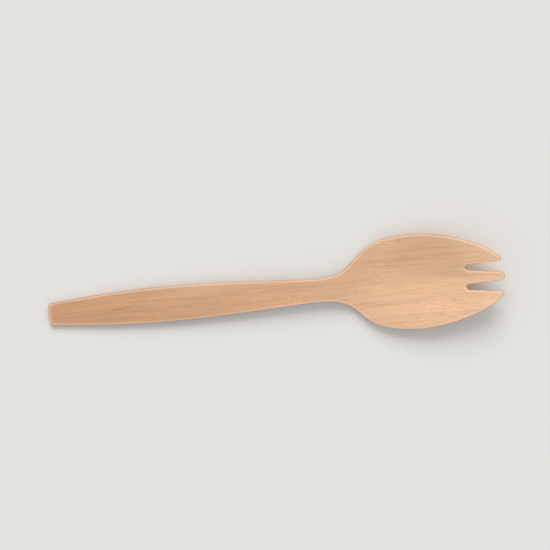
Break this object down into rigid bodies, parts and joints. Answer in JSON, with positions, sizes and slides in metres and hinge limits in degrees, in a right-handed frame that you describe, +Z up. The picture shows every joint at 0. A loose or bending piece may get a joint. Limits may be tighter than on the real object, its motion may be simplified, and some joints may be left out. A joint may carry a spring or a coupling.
{
  "type": "disposable wooden spork",
  "caption": "Birch spork pressed from one veneer: a straight tapered handle, a narrow neck and a shallow oval bowl that dips below the handle and rises to three short tines.",
  "frame": {"origin": "on the surface that the spork lies on, under the middle of its length and width", "axes": "+X along the spork towards the tines, +Z up out of the hollow of the bowl, +Y across it"},
  "size_m": [0.1601, 0.0338, 0.0103],
  "materials": {
    "birch": "bare, smooth pressed birch veneer with a faint grain along its length"
  },
  "bodies": {
    "root": {"spork": "birch"}
  },
  "joints": []
}
